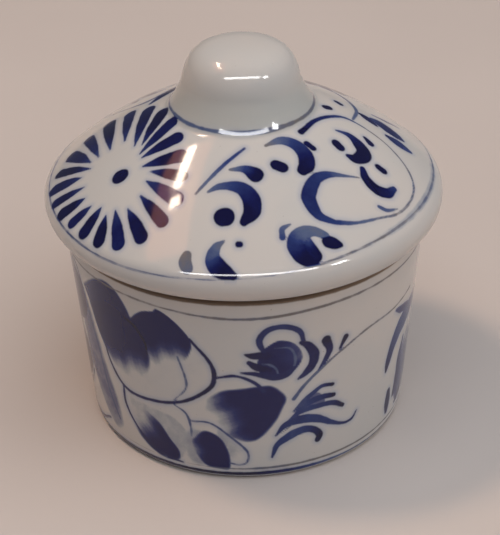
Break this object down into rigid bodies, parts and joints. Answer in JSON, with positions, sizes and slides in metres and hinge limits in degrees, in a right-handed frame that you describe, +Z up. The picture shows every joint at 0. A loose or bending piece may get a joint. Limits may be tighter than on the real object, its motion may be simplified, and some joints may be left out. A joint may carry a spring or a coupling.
{
  "type": "lidded rice bowl",
  "caption": "Straight-sided round porcelain bowl with a lift-off domed lid, a broad integral knob and a locating collar under the lid.",
  "frame": {"origin": "centre of the foot, on the surface the bowl stands on", "axes": "+Z up along the turning axis of bowl and lid; the front of the painted decoration faces -Y"},
  "size_m": [0.1, 0.1, 0.1006],
  "materials": {
    "bowl_porcelain": "gloss glaze over blue brush painting, bare foot ring",
    "lid_porcelain": "gloss glaze over blue brush painting, bare seat"
  },
  "bodies": {
    "bowl": {"bowl": "bowl_porcelain"},
    "lid": {"lid": "lid_porcelain"}
  },
  "joints": [
    {"name": "lid_lift", "type": "slide", "parent": "bowl", "child": "lid", "axis": [0, 0, 1], "range_m": [0, 0.06]}
  ]
}
